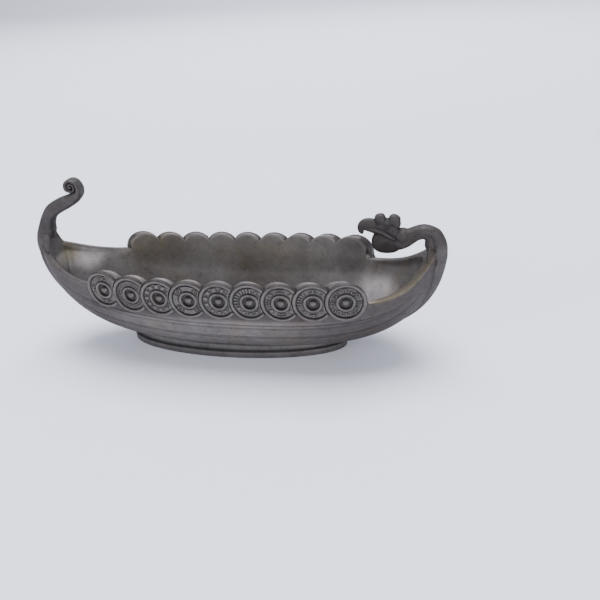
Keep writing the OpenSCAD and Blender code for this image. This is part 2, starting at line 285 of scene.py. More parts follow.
def gunwale_z(side, q, skin=0):
    form = end_of(side)
    x = gunwale_x(side, q, skin)
    swept = np.clip((x - SHEER_START) / (form["half"] - SHEER_START), 0, 1)
    flat = GUNWALE_HEIGHT + form["step"] * np.clip(x / SHEER_START, 0, 1)
    return flat + form["sheer"] * swept ** form["power"] + skin * RIM_BEVEL * swept ** 2


def keel_x(side, q, skin=0):
    if skin == 0:
        return end_of(side)["keel_half"] * q
    return gunwale_x(side, q, 1) + INNER_OVERHANG * q


def keel_z(side, q, skin=0):
    form = end_of(side)
    low = KEEL_HEIGHT + skin * WALL
    top = form["keel_top"] if skin == 0 else gunwale_z(side, 1.0, 1) - INNER_DEPTH
    return low + (top - low) * (1 - np.maximum(1 - q ** form["run"], 0) ** (1 / form["rise"]))


def fullness(side, q):
    return SECTION_FULLNESS + (end_of(side)["section"] - SECTION_FULLNESS) * q * q


def hull_points(side, q, phi, skin):
    """Points on the port half of a skin, for one q and an array of phi in degrees."""
    n = fullness(side, q)
    a = np.radians(phi)
    f = np.maximum(np.cos(a), 0) ** (2 / n)
    g = np.maximum(np.sin(a), 0) ** (2 / n)
    xg, xk = gunwale_x(side, q, skin), keel_x(side, q, skin)
    zg, zk = gunwale_z(side, q, skin), keel_z(side, q, skin)
    return np.stack([side * (xg + (xk - xg) * f), gunwale_y(side, q, skin) * g, zg - (zg - zk) * f], -1)


def bottom_z(x, y):
    """Height of the outside of the bottom above the table."""
    side = -1 if x < 0 else 1
    q = abs(x) / end_of(side)["keel_half"]
    n = fullness(side, q)
    zg = gunwale_z(side, q)
    share = min(abs(y) / gunwale_y(side, q), 1)
    return zg - (zg - keel_z(side, q)) * (1 - share ** n) ** (1 / n)


# ---- Places along the gunwale ----

def gunwale_run(side, reach=62, step=0.25):
    """Distance along the gunwale from amidships, against x."""
    x = np.arange(0, reach, step)
    y = gunwale_y(side, x / end_of(side)["half"])
    s = np.concatenate([[0], np.cumsum(np.hypot(np.diff(x), np.diff(y)))])
    return s, x


RUNS = {-1: gunwale_run(-1), 1: gunwale_run(1)}


def x_at(s):
    side = -1 if s < 0 else 1
    return side * float(np.interp(abs(s), *RUNS[side]))


def shield_s(i):
    return MIDDLE_SHIELD_S + (i - MIDDLE_SHIELD) * SHIELD_PITCH


def shield_centre_z(i):
    x = x_at(shield_s(i))
    lift = SHIELD_LIFT_AFT if x < 0 else SHIELD_LIFT_FORE
    return SHIELD_Z + lift * (abs(x) / x_at(shield_s(SHIELDS))) ** 4


def wall_top(s, gunwale):
    """Height of the scalloped edge at s. The row of scallops eases down into the gunwale at its ends."""
    top = 0.0
    for i in range(1, SHIELDS + 1):
        left = SHIELD_R ** 2 - (s - shield_s(i)) ** 2
        eased = (left + math.hypot(left, 1.0)) / 2
        rise = shield_centre_z(i) + math.sqrt(eased) - gunwale
        top = max(top, gunwale + rise * float(smoothstep(-14, 0, left)))
    return top


# ---- Hull ----

LOWER_ROWS = 84
UPPER_ROWS = 18
UPPER_FROM = 76.0
CAP_ROWS = 9
STRAKES = (74.6, 59.6)
LIP_ROUND = 0.8
SWEPT_FROM, SWEPT_TO = 44, 58
ROW_END_STEP = 0.1


def hull_stations():
    """(side, q, least top of the wall) from the stern to the bow, closest together on the scallops."""
    notch = math.degrees(math.asin(SHIELD_PITCH / 2 / SHIELD_R))
    found = [shield_s(1) - SHIELD_R - ROW_END_STEP * k for k in range(14, 0, -1)]
    for i in range(1, SHIELDS + 1):
        low = -90 if i == 1 else -notch
        high = 90 if i == SHIELDS else notch
        steps = 44 if i in (1, SHIELDS) else 30
        for k in range(steps + (i == SHIELDS)):
            found.append(shield_s(i) + SHIELD_R * math.sin(math.radians(low + (high - low) * k / steps)))
    found += [shield_s(SHIELDS) + SHIELD_R + ROW_END_STEP * k for k in range(1, 15)]
    stations = []
    for s in found:
        x = x_at(s)
        side = -1 if x < 0 else 1
        q = abs(x) / end_of(side)["half"]
        stations.append((side, q, wall_top(s, float(gunwale_z(side, q)))))
    return end_run(-1, stations[0][1])[::-1] + stations + end_run(1, stations[-1][1])


def end_run(side, q_start, count=90):
    """Stations from the scallops out to the blunt tip, closer together near the tip."""
    form = end_of(side)
    q_tip = (1 - (TIP_HALF / HALF_BEAM) ** 2) ** (1 / form["plan"])
    t0, t1 = math.asin(q_start ** (form["run"] / 2)), math.asin(q_tip ** (form["run"] / 2))
    return [(side, math.sin(t0 + (t1 - t0) * k / count) ** (2 / form["run"]), 0.0)
            for k in range(1, count + 1)]


def lower_phi():
    """The phi of a skin's lower rows, from the keel up."""
    return UPPER_FROM * np.linspace(0, 1, LOWER_ROWS) ** 0.9


def skin_column(side, q, top, skin, cut):
    """Port half of a skin from the keel to `cut` under its edge, with rows packed towards the edge."""
    low = hull_points(side, q, lower_phi(), skin)
    arc = hull_points(side, q, np.linspace(UPPER_FROM, 90, 60), skin)
    height = top - arc[-1, 2]
    if height > 0.001:
        arc = np.concatenate([arc, arc[-1] + np.linspace(0.02, 1, 40)[:, None] * [0, 0, height]])
    run = np.concatenate([[0], np.cumsum(np.linalg.norm(np.diff(arc, axis=0), axis=1))])
    wanted = np.linspace(0, max(run[-1] - cut, 0.3), UPPER_ROWS)
    high = np.stack([np.interp(wanted, run, arc[:, k]) for k in range(3)], -1)
    return np.concatenate([low[:-1], high]), arc[-1]


def lip(outer, outer_edge, inner, inner_edge):
    """The edge between the tops of the two skins: two soft corners with a short flat between them."""
    t = np.linspace(0, 1, CAP_ROWS + 2)[1:, None]
    middle = outer_edge + 0.5 * (inner_edge - outer_edge)
    first = (1 - t) ** 2 * outer + 2 * t * (1 - t) * outer_edge + t ** 2 * middle
    second = (1 - t) ** 2 * middle + 2 * t * (1 - t) * inner_edge + t ** 2 * inner
    return np.concatenate([first, second[:-1]])


def planking(q, phi):
    """Height of the lapped planks and their beads over the smooth skin, in millimetres."""
    fade = falling(0.84, 0.97, q)
    upper, lower = STRAKES
    lap = 0.28 * smoothstep(upper - 0.4, upper + 0.5, phi)
    bead = 0.22 * np.exp(-((phi - upper + 1.9) / 0.8) ** 2)
    grooves = -0.2 * np.exp(-((phi - lower) / 0.55) ** 2) - 0.2 * np.exp(-((phi - lower + 3.1) / 0.55) ** 2)
    step = 0.16 * smoothstep(lower - 0.6, lower + 0.9, phi)
    keel_fade = smoothstep(20, 40, phi)
    return fade * (lap + bead + grooves + step * keel_fade) - 0.28 * fade


def half_section(side, q, top):
    """Port half of the hull across one station: up the outside, over the lip and down the inside."""
    swept = float(smoothstep(SWEPT_FROM, SWEPT_TO, gunwale_x(side, q)))
    outer, outer_edge = skin_column(side, q, top, 0, LIP_ROUND * (1 - 0.6 * swept))
    inner, inner_edge = skin_column(side, q, top, 1, LIP_ROUND + end_of(side)["ease"] * swept)
    cap = lip(outer[-1], outer_edge, inner[-1], inner_edge)
    return np.concatenate([outer, cap, inner[::-1]])


def outward_ways(grid, rows):
    """The way out from the port half's outer skin, at its first so many rows."""
    normal = np.cross(np.gradient(grid, axis=0), np.gradient(grid, axis=1))[:, :rows]
    normal /= np.maximum(np.linalg.norm(normal, axis=2, keepdims=True), 1e-9)
    return np.where(normal[..., 1:2] < 0, -1, 1) * normal


def hull():
    stations = hull_stations()
    grid = np.array([half_section(*station) for station in stations])
    rows = LOWER_ROWS - 1 + UPPER_ROWS
    q = np.array([station[1] for station in stations])[:, None]
    phi = np.concatenate([lower_phi()[:-1], np.full(UPPER_ROWS, 80)])[None, :]
    grid[:, :rows] += outward_ways(grid, rows) * planking(q, phi)[..., None]
    grid[:, 0, 1] = 0
    rings = np.concatenate([grid, grid[:, -2:0:-1] * [1, -1, 1]], axis=1)
    total, count = rings.shape[:2]
    return Shape().add(rings, [tube_faces(total, count)] + zip_ends(total, count)).object("pewter_hull")


# ---- Foot ring ----

FOOT_COLUMNS = 300


def foot_section():
    """(inset from the outer edge, height, how far it belongs to the hull) round the ring's section."""
    outside = [(0.35, 0.0, 0), (0.1, 0.1, 0), (0.0, 0.35, 0), (0.02, 1.2, 0), (0.0, FOOT_BAND - 0.35, 0),
               (0.1, FOOT_BAND - 0.08, 0), (0.35, FOOT_BAND, 0)]
    cove = [(0.75, FOOT_BAND + 0.12, 0), (1.05, FOOT_BAND + 0.45, 0), (1.25, FOOT_BAND + 0.95, 0.15),
            (FOOT_COVE + 0.1, 0, 1)]
    inside = [(FOOT_COVE + FOOT_WALL, 0, 1), (FOOT_WALL + 0.5, 1.4, 0), (FOOT_WALL + 0.1, 0.2, 0),
              (FOOT_WALL - 0.15, 0.0, 0)]
    return outside + cove + inside


def foot_ring():
    section = foot_section()
    rings = []
    for angle in np.radians(360 * np.arange(FOOT_COLUMNS) / FOOT_COLUMNS):
        way = np.array([math.cos(angle) / FOOT_HALF, math.sin(angle) / FOOT_BEAM])
        way /= np.linalg.norm(way)
        edge = np.array([FOOT_X + FOOT_HALF * math.cos(angle), FOOT_BEAM * math.sin(angle)])
        ring = []
        for inset, height, hull_share in section:
            x, y = edge - inset * way
            meets = bottom_z(x, y) + SOLDER
            ring.append((x, y, height + hull_share * (meets - height)))
        rings.append(ring)
    rings = np.array(rings)
    count = rings.shape[1]
    return Shape().add(rings, [tube_faces(FOOT_COLUMNS, count, closed=True)]).object("pewter_foot_ring")


# ---- Shields ----
# A shield's relief is a height over its field, at u (to the bow) and v (up) in units of its radius.

SHIELD_ROWS = 92
SHIELD_COLUMNS = 252
RIM_AT = 0.915
TUCK = -0.3


def bump(distance, width):
    """A soft bar or dot: 1 at distance 0, 0 from `width` on."""
    return np.sqrt(np.clip(1 - (distance / width) ** 2, 0, 1))


def slab(distance, width, edge=0.02):
    """A flat-topped bar or dot."""
    return falling(width - edge, width + edge, distance)


def band(r, low, high):
    """1 from one radius to another, 0 elsewhere."""
    return smoothstep(low - 0.02, low + 0.02, r) * falling(high - 0.02, high + 0.02, r)


def turn(angle):
    a = math.radians(angle)
    return math.cos(a), math.sin(a)


def pellet(u, v, angle, at=0.63, size=0.085):
    c, s = turn(angle)
    return bump(np.hypot(u - at * c, v - at * s), size)


def ringed_pellet(u, v, angle, at=0.655, size=0.13):
    c, s = turn(angle)
    d = np.hypot(u - at * c, v - at * s)
    return np.maximum(bump(d, size * 0.4), bump(np.abs(d - size * 0.85), size * 0.24))


def brick(u, v, angle, at=0.64, half=0.1, deep=0.1):
    c, s = turn(angle)
    along, out = -u * s + v * c, u * c + v * s - at
    return slab(np.abs(along), half) * slab(np.abs(out), deep)


def curl(u, v, angle, at, size, opening, thick=0.035):
    """An open ring, with its gap facing `opening`."""
    c, s = turn(angle)
    x, y = u - at * c, v - at * s
    gap = np.abs((np.degrees(np.arctan2(y, x)) - opening + 180) % 360 - 180)
    return bump(np.abs(np.hypot(x, y) - size), thick) * smoothstep(35, 55, gap)


def spokes(u, v, count, low, high, share=0.5):
    r, a = np.hypot(u, v), np.arctan2(v, u)
    wave = smoothstep(1 - 2 * share - 0.25, 1 - 2 * share + 0.25, np.cos(count * a))
    return wave * band(r, low, high)


def panel(u, v, angle, half_angle, low=0.53, high=0.76):
    r = np.hypot(u, v)
    off = np.abs((np.degrees(np.arctan2(v, u)) - angle + 180) % 360 - 180)
    return falling(half_angle - 3, half_angle + 3, off) * band(r, low, high)


QUARTERS = (0, 90, 180, 270)
CORNERS = (45, 135, 225, 315)


def motif_curls(u, v):
    parts = []
    for a in QUARTERS:
        parts += [curl(u, v, a - 8, 0.66, 0.06, a - 90), curl(u, v, a + 8, 0.6, 0.06, a + 90),
                  pellet(u, v, a + 19, 0.67, 0.05), pellet(u, v, a - 19, 0.6, 0.045)]
    return parts


def motif_rope(u, v):
    return [0.75 * spokes(u, v, 44, 0.57, 0.75), 0.8 * bump(np.abs(np.hypot(u, v) - 0.54), 0.03)]


def motif_bricks_and_pellets(u, v):
    bricks = [brick(u, v, a, half=0.085) for a in (30, 62, 92, 122, 152, 182, 212)]
    return bricks + [pellet(u, v, a, size=0.095) for a in (240, 270, 300, 330, 0)]


def motif_ringed_corners(u, v):
    return [ringed_pellet(u, v, a) for a in CORNERS] + [0.8 * panel(u, v, a, 24) for a in QUARTERS]


def motif_bricks_left(u, v):
    bricks = [brick(u, v, a, half=0.09) for a in (105, 138, 168, 198)] + [brick(u, v, 68, half=0.07)]
    return bricks + [pellet(u, v, a, size=0.095) for a in (35, 235, 268, 300, 332, 2)]


def motif_fan(u, v):
    fan = spokes(u, v, 26, 0.53, 0.76) * panel(u, v, 135, 62, 0.5, 0.8)
    return [fan] + [pellet(u, v, a) for a in (58, 30, 0, 332, 302, 272, 240, 212)]


def motif_studs(u, v):
    parts = [pellet(u, v, a, 0.64, 0.1) for a in (42, 138, 222, 318)]
    for a in QUARTERS:
        for along in (-0.12, 0.0, 0.12):
            c, s = turn(a + math.degrees(along / 0.64))
            for at in (0.57, 0.7):
                parts.append(slab(np.maximum(np.abs(u - at * c), np.abs(v - at * s)), 0.042))
    return parts


def motif_bars(u, v):
    fan = spokes(u, v, 30, 0.53, 0.76) * panel(u, v, 160, 30, 0.5, 0.8)
    parts = [fan, brick(u, v, 180, 0.66, 0.03, 0.12)]
    for a in (90, 270):
        parts += [brick(u, v, a, 0.6, 0.14, 0.03), brick(u, v, a, 0.66, 0.03, 0.1)]
    return parts + [pellet(u, v, a, 0.63, 0.07) for a in (45, 20, 315, 340, 225)]


def motif_scrolls(u, v):
    parts = [brick(u, v, a, 0.64, 0.03, 0.11) for a in QUARTERS]
    for a in CORNERS:
        parts += [curl(u, v, a - 10, 0.68, 0.08, a + 180), curl(u, v, a + 12, 0.6, 0.075, a)]
    return parts + [brick(u, v, a, 0.66, 0.02, 0.07) for a in (80, 100, 172, 188, 262, 278)]


MOTIFS = (motif_curls, motif_rope, motif_bricks_and_pellets, motif_ringed_corners, motif_bricks_left,
          motif_fan, motif_studs, motif_bars, motif_scrolls)


def shield_relief(i, r, u, v):
    """Height over the shield's field, for r from 0 to 1."""
    rim = SHIELD_RELIEF * bump(np.minimum(r - RIM_AT, 0), 0.1)
    outer = (SHIELD_FIELD + SHIELD_RELIEF) * (bump(np.maximum(r - RIM_AT, 0), 0.09) - 1)
    trough = -0.18 * bump(r - 0.795, 0.03)
    ring = SHIELD_RELIEF * bump(r - 0.4, 0.075)
    well = -0.42 * falling(0.3, 0.345, r)
    boss = bump(r, 0.185)
    motif = 0.3 * most(*MOTIFS[i - 1](u, v)) * smoothstep(0.47, 0.5, r) * falling(0.78, 0.8, r)
    return rim + outer + trough + ring + well + boss + motif


def shield_place(i, side):
    """Centre of a shield and the ways to the bow and out. Up is +Z."""
    x = x_at(shield_s(i))
    end = -1 if x < 0 else 1
    half = end_of(end)["half"]
    y0, y1 = (float(gunwale_y(end, abs(x + d) / half)) for d in (-0.5, 0.5))
    ahead = np.array([1.0, side * (y1 - y0), 0.0])
    ahead /= np.linalg.norm(ahead)
    out = np.array([-ahead[1] * side, ahead[0] * side, 0.0])
    centre = np.array([x, side * (float(gunwale_y(end, abs(x) / half)) - SOLDER), shield_centre_z(i)])
    return centre, ahead, out


def shield(name, i, side):
    """A shield's relief, with a plain wall behind its rim that goes into the hull's."""
    r = np.linspace(0.012, 1, SHIELD_ROWS)[:, None]
    a = np.radians(360 * np.arange(SHIELD_COLUMNS) / SHIELD_COLUMNS)[None, :]
    centre, ahead, out = shield_place(i, side)

    def flat(u, v):
        return centre + SHIELD_R * (u[..., None] * ahead + v[..., None] * [0, 0, 1])

    face = flat(r * np.cos(a), r * np.sin(a))
    height = SHIELD_FIELD + shield_relief(i, r + 0 * a, r * np.cos(a), r * np.sin(a))
    if i < SHIELDS:
        height = tucked(height, face - shield_place(i + 1, side)[0])
    rings = list(face + height[..., None] * out)
    for share, depth in ((1.0, 0.35), (0.99, 0.0), (0.94, -0.7), (0.9, -1.3)):
        level = np.minimum(depth, height[-1] - 0.05)[:, None]
        rings.append(flat(share * np.cos(a[0]), share * np.sin(a[0])) + level * out)
    return tube(Shape(), rings).object(name)


def tucked(height, away):
    """The height of a shield that sinks away under the next one forward, whose centre lies `away`."""
    clear = np.linalg.norm(away, axis=-1) - SHIELD_R
    return TUCK + (height - TUCK) * smoothstep(-0.12, 0.3, clear)


# ---- Posts ----
# A rib crosses a post in the centre plane: [outer x, outer z, inner x, inner z, half width at the outer
# edge, half width at the inner edge].

def rib_rings(ribs, corner, points=56, groove=0.0):
    """Rings of a post, rounder for a low `corner`. A groove, if any, runs down each side of it, low on the
    post's section and nearer to the outer band further up."""
    a = 2 * np.pi * (np.arange(points) + 0.5) / points
    u = np.sign(np.cos(a)) * np.abs(np.cos(a)) ** (2 / corner)
    v = np.sign(np.sin(a)) * np.abs(np.sin(a)) ** (2 / corner)
    ribs = np.asarray(ribs)
    middle, arm = (ribs[:, :2] + ribs[:, 2:4]) / 2, (ribs[:, :2] - ribs[:, 2:4]) / 2
    x = middle[:, :1] + arm[:, :1] * u
    z = middle[:, 1:] + arm[:, 1:] * u
    width = ribs[:, 5:6] + (ribs[:, 4:5] - ribs[:, 5:6]) * (1 + u) / 2
    at = 0.65 * smoothstep(36, 43, ribs[:, 1:2]) - 0.7
    cut = np.asarray(groove).reshape(-1, 1) * np.exp(-((u - at) / 0.1) ** 2)
    return np.stack([x, (width - cut) * v, z], -1)


def stem_ribs(side, top, count=60, start=0.8, growth=1.6):
    """Ribs of the stem band up to a height. It climbs the keel line and grows deeper as it rises."""
    form = end_of(side)
    ribs = []
    t0 = math.asin(start ** (form["run"] / 2))
    for k in range(count + 1):
        share = k / count
        q = math.sin(t0 + (math.pi / 2 - t0) * share) ** (2 / form["run"])
        here = np.array([keel_x(side, q), keel_z(side, q)])
        if here[1] > top:
            break
        run = np.array([keel_x(side, 0.002), keel_z(side, q) - keel_z(side, q - 0.002)])
        away = np.array([run[1], -run[0]]) / np.linalg.norm(run)
        deep = STEM_LOW + (form["band"] - STEM_LOW) * share ** growth
        outer = here + away * deep
        inner = here - away * (0.3 + 1.5 * share)
        width = STEM_HALF_WIDTH * (0.4 + 0.6 * share ** 0.5)
        ribs.append([side * outer[0], outer[1], side * inner[0], inner[1], width, width + 1.7 * share])
    return np.array(ribs)


def smooth_ribs(shares, steps):
    """Ribs through the given ones, whose widths are shares of the post's half width."""
    ribs = between(shares, steps)
    ribs[:, 4:] *= POST_HALF_WIDTH
    return ribs


def post_ribs(side, stem_top, root, post):
    """Ribs up the stem band, through the post's root and along the post."""
    stem, post = stem_ribs(side, stem_top), smooth_ribs(post, 8)
    root = np.array(root) * [1, 1, 1, 1, POST_HALF_WIDTH, POST_HALF_WIDTH]
    return np.concatenate([stem, between(np.concatenate([stem[-1:], root, post[:1]]), 5)[1:-1], post])


RAYS_FROM = 80.0
FLARE_INSET = 0.3
FLARE_BLEND = 2.5
FLARE_SINK = 0.05
FLARE_DEPTH = 0.8


def hull_tree(mesh):
    """The hull's surface, to be met by rays."""
    return BVHTree.FromPolygons(places(mesh).tolist(), [tuple(f.vertices) for f in mesh.polygons])


def softened(grid, rows, columns):
    """A grid of heights, averaged over so many cells to either side."""
    for axis, reach in ((0, rows), (1, columns)):
        weights = np.hanning(2 * reach + 3)[1:-1]
        wide = np.pad(grid, [(reach, reach) if axis == k else (0, 0) for k in (0, 1)], mode="edge")
        grid = sum(w * np.take(wide, np.arange(grid.shape[axis]) + k, axis)
                   for k, w in enumerate(weights / weights.sum()))
    return grid


def ground_under(tree, x, y):
    """Points of the hull's top under a grid of x and y, and the way that it faces at each."""
    hits = [tree.ray_cast((v, w, RAYS_FROM), (0, 0, -1))[:2] for v, row in zip(x[:, 0], y) for w in row]
    return (np.array([hit[k] for hit in hits]).reshape(*y.shape, 3) for k in (0, 1))


def flare(name, tree, side, run, foot, top, steep, soft, rows=130, columns=91):
    """The flare by which a post grows out of the rim and the bowl: a skin laid over the hull's top.

    `run` is its extent along x, `foot` the post's own (x low, x high, half width) at the height `top`,
    `steep` how fast it falls away: sideways, further out, and how many times faster towards the bowl, and
    `soft` the cells over which its height is averaged, along x and along y."""
    middle, long = (foot[0] + foot[1]) / 2, (foot[1] - foot[0]) / 2
    inner, tip = sorted(abs(x) for x in run)
    x = np.linspace(*run, rows)[:, None]
    edge = gunwale_y(side, np.abs(x) / end_of(side)["half"]) - FLARE_INSET
    y = edge * np.linspace(-1, 1, columns)
    ground, normal = ground_under(tree, x, y)
    ahead = np.maximum(side * (middle - x) - long, 0)
    aside = np.maximum(np.abs(y) - foot[2], 0) * falling(0, 2.5, ahead)
    away = np.hypot(steep[2] * ahead, aside)
    rise = top - steep[0] * away ** 0.7 - steep[1] * away ** 2 - ground[..., 2]
    share = np.clip(0.5 + rise / (2 * FLARE_BLEND), 0, 1)
    lift = softened(rise * share + FLARE_BLEND * share * (1 - share), *soft)
    lift *= smoothstep(0, 2.4, edge - np.abs(y)) * smoothstep(0, 2.6, tip - np.abs(x))
    lift *= smoothstep(0, 1.2, np.abs(x) - inner)
    skin = ground - FLARE_SINK * falling(0, 1.2, lift)[..., None] * normal
    skin[..., 2] += lift
    under = np.stack([x + 0 * y, y, ground[..., 2] - FLARE_DEPTH], -1)
    rings = np.concatenate([under[:, :1], skin, under[:, :0:-1]], 1)
    faces = [tube_faces(rows, 2 * columns)] + zip_ends(rows, 2 * columns)
    return Shape().add(rings, faces).object(name)


PROW_ROOT = [
    [74.48, 36.0, 69.9, 35.2, 0.74, 1.0], [74.48, 38.2, 68.8, 36.8, 0.8, 0.98],
    [74.3, 40.3, 67.6, 38.6, 0.88, 0.96], [73.8, 42.1, 66.9, 39.9, 0.95, 0.96],
]
ARCH = [
    [73.1, 43.6, 66.8, 40.9, 1.0, 0.95], [72.3, 44.9, 66.8, 42.2, 1.0, 0.92],
    [71.0, 46.1, 66.5, 42.7, 1.0, 0.9], [68.4, 47.2, 66.1, 42.9, 1.0, 0.92],
    [65.9, 47.5, 65.1, 42.6, 1.0, 0.95], [64.2, 46.95, 63.9, 42.0, 0.96, 0.92],
    [62.8, 46.3, 62.6, 41.3, 0.9, 0.88],
]
NECK = [
    [67.6, 47.05, 66.6, 43.2, 0.94, 0.88], [65.9, 47.45, 65.1, 42.65, 0.99, 0.94],
    [63.6, 46.95, 63.4, 41.4, 1.0, 0.98], [61.4, 46.1, 61.4, 39.9, 1.0, 1.0],
    [59.4, 45.9, 59.2, 38.9, 0.95, 0.95], [58.0, 46.2, 57.6, 38.6, 0.8, 0.8],
]


def ball(shape, centre, radii, tilt=0.0, corner=2.0):
    """An egg or a softened block; tilt turns it in the centre plane, from x towards z."""
    n, m = 40, 56
    b = np.pi * (np.arange(1, n) / n)[:, None]
    a = (2 * np.pi * np.arange(m) / m)[None, :]

    def soft(v):
        return np.sign(v) * np.abs(v) ** (2 / corner)

    local = np.stack([soft(np.sin(b)) * soft(np.cos(a)), soft(np.sin(b)) * soft(np.sin(a)),
                      soft(np.cos(b)) + 0 * a], -1) * radii
    c, s = turn(tilt)
    spun = np.stack([local[..., 0] * c - local[..., 2] * s, local[..., 1],
                     local[..., 0] * s + local[..., 2] * c], -1)
    tube(shape, spun + centre)


def bar(shape, path, radii, steps=6):
    """A round bar along a smooth path, with a radius at each point."""
    rows = between([list(p) + [r] for p, r in zip(path, radii)], steps)
    p, r = rows[:, :3], rows[:, 3]
    way = np.gradient(p, axis=0)
    way /= np.linalg.norm(way, axis=1, keepdims=True)
    first = np.cross(way, [0, 1, 0])
    first /= np.linalg.norm(first, axis=1, keepdims=True)
    second = np.cross(way, first)
    a = 2 * np.pi * np.arange(20) / 20
    rings = p[:, None] + r[:, None, None] * (np.cos(a)[None, :, None] * first[:, None]
                                             + np.sin(a)[None, :, None] * second[:, None])
    tube(shape, rings)


HEAD_VOXEL = 0.13
HEAD_SOFTENING = 30
SKULL = [
    [63.0, 45.6, 62.9, 41.6, 0.8], [61.5, 45.5, 61.3, 40.5, 0.9], [60.0, 45.8, 59.7, 39.2, 0.97],
    [58.3, 46.5, 58.0, 39.8, 0.86], [56.8, 48.0, 56.4, 41.5, 0.72], [55.0, 48.8, 54.8, 42.5, 0.66],
    [53.0, 49.0, 53.0, 43.2, 0.68], [51.3, 49.2, 51.3, 43.8, 0.68], [50.0, 49.5, 50.0, 44.4, 0.68],
    [48.7, 49.7, 48.7, 44.9, 0.66], [47.3, 49.6, 47.7, 45.2, 0.62], [45.9, 49.0, 47.2, 45.5, 0.58],
    [44.9, 47.9, 46.9, 45.5, 0.52], [44.5, 46.6, 46.75, 45.1, 0.46], [44.8, 45.2, 46.7, 44.6, 0.4],
    [45.5, 44.3, 46.45, 44.1, 0.26],
]

# Blocks of the head: centre, radii, tilt, corner.
JAW = (54.4, 0, 41.5), (5.15, 2.35, 4.15), 0, 2.4
JAW_HINGE = (58.6, 0, 41.6), (4.0, 2.5, 2.9), 20, 2.0
CHEEK = (59.4, 0, 43.6), (2.7, 2.9, 2.7), 8, 2.2
FRONT_KNOB = (52.1, 0, 49.45), (1.85, 1.75, 1.9), 10, 2.7
BACK_KNOB = (56.7, 0, 49.15), (2.0, 1.8, 1.9), -25, 2.7
KNOB_FOOT = (57.5, 0, 48.0), (1.4, 1.65, 1.6), 0, 2.4
BROW = (54.4, 0, 48.4), (2.6, 1.5, 1.4), 0, 2.4


def dragon_head():
    """Skull, curled beak, two crest knobs, lips and a round lower jaw, fused and softened."""
    shape = Shape()
    tube(shape, rib_rings(smooth_ribs([r + [r[4]] for r in SKULL], 6), 2.3))
    tube(shape, rib_rings(smooth_ribs(NECK, 8), 2.8))
    for block in (JAW, JAW_HINGE, CHEEK, FRONT_KNOB, BACK_KNOB, KNOB_FOOT, BROW):
        ball(shape, *block)
    for side in (-1, 1):
        bar(shape, [(46.6, side * 0.9, 46.4), (48.6, side * 1.4, 46.2), (50.6, side * 1.85, 46.0),
                    (52.8, side * 2.1, 45.4), (54.9, side * 2.25, 44.3), (57.0, side * 2.3, 43.1)],
            [0.4, 0.55, 0.65, 0.65, 0.6, 0.4])
    return fused(shape.object("head_stock"), HEAD_VOXEL, HEAD_SOFTENING)


def fused(obj, voxel, softening):
    """The union of an object's overlapping shells, softened, as plain points and faces."""
    remesh = obj.modifiers.new("fuse", "REMESH")
    remesh.mode = "VOXEL"
    remesh.voxel_size = voxel * MM
    soften = obj.modifiers.new("soften", "SMOOTH")
    soften.factor = 0.5
    soften.iterations = softening
    bpy.context.view_layer.update()
    result = obj.evaluated_get(bpy.context.evaluated_depsgraph_get()).to_mesh()
    points = places(result)
    sizes = read(result.polygons, "loop_total")[:, 0]
    corners = read(result.loops, "vertex_index")[:, 0]
    starts = np.cumsum(sizes) - sizes
    groups = [corners[starts[sizes == n][:, None] + np.arange(n)] for n in (3, 4) if (sizes == n).any()]
    mesh = obj.data
    bpy.data.objects.remove(obj)
    bpy.data.meshes.remove(mesh)
    return points, groups


def dragon_prow():
    head = dragon_head()
    shape = Shape()
    body = post_ribs(1, 33.5, PROW_ROOT, ARCH)
    groove = 0.28 * smoothstep(34, 37, body[:, 1]) * smoothstep(65, 70, body[:, 0])
    tube(shape, rib_rings(body, 2.8, 72, groove))
    shape.add(*head)
    return shape.object("pewter_prow")


POST = [
    [-73.3, 42.8, -66.6, 42.8, 0.97, 1.0], [-72.7, 44.0, -66.2, 44.1, 1.0, 0.98],
    [-71.3, 46.6, -65.9, 46.4, 1.0, 0.95], [-69.4, 49.9, -64.5, 48.9, 1.0, 0.92],
    [-66.5, 53.5, -61.6, 50.8, 1.0, 0.92], [-62.2, 55.9, -57.7, 52.7, 0.97, 0.9],
    [-59.0, 57.0, -54.6, 54.5, 0.92, 0.86],
]
POST_ROOT = [
    [-74.25, 35.4, -70.8, 35.0, 0.72, 1.0], [-74.4, 37.6, -69.8, 37.0, 0.78, 1.0],
    [-74.2, 39.7, -68.6, 39.3, 0.88, 1.0], [-73.8, 41.3, -67.3, 41.2, 0.94, 1.0],
]


def scroll_reach(angle):
    """Outer edge of the scroll's winding, by the angle that it has turned through."""
    marks = (-60, -30, 0, 30, 90, 150, 210, 240, 270, 330, 390, 450, 510, 570, 640)
    reach = (4.85, 3.95, 3.2, 2.85, 2.79, 2.82, 2.8, 2.35, 2.05, 1.9, 1.75, 1.55, 1.3, 1.05, 0.75)
    return float(np.interp(angle, marks, reach))


def scroll_ribs():
    """The post's end winds in on itself for nearly two turns."""
    ribs = []
    for angle in np.arange(-60, 641, 5.0):
        c, s = turn(angle)
        outer = scroll_reach(angle)
        inner = scroll_reach(angle + 360) if angle < 280 else max(0.1, outer - 1.0)
        x, z = SCROLL_CENTRE
        width = 2.25 - 0.25 * smoothstep(180, 640, angle)
        ribs.append([x + inner * c, z + inner * s, x + outer * c, z + outer * s, width, width])
    return np.array(ribs)


def sternpost():
    shape = Shape()
    body = post_ribs(-1, 33.0, POST_ROOT, POST)
    tube(shape, rib_rings(body, 3.2, 72))
    curl_ribs = scroll_ribs()
    bridge = between([body[-9], body[-1], curl_ribs[0]], 6)
    tube(shape, rib_rings(np.concatenate([bridge, curl_ribs[1:]]), 3.0))
    ball(shape, (SCROLL_CENTRE[0], 0, SCROLL_CENTRE[1]), (0.75, 2.35, 0.75))
    return shape.object("pewter_sternpost")


# ---- Materials ----

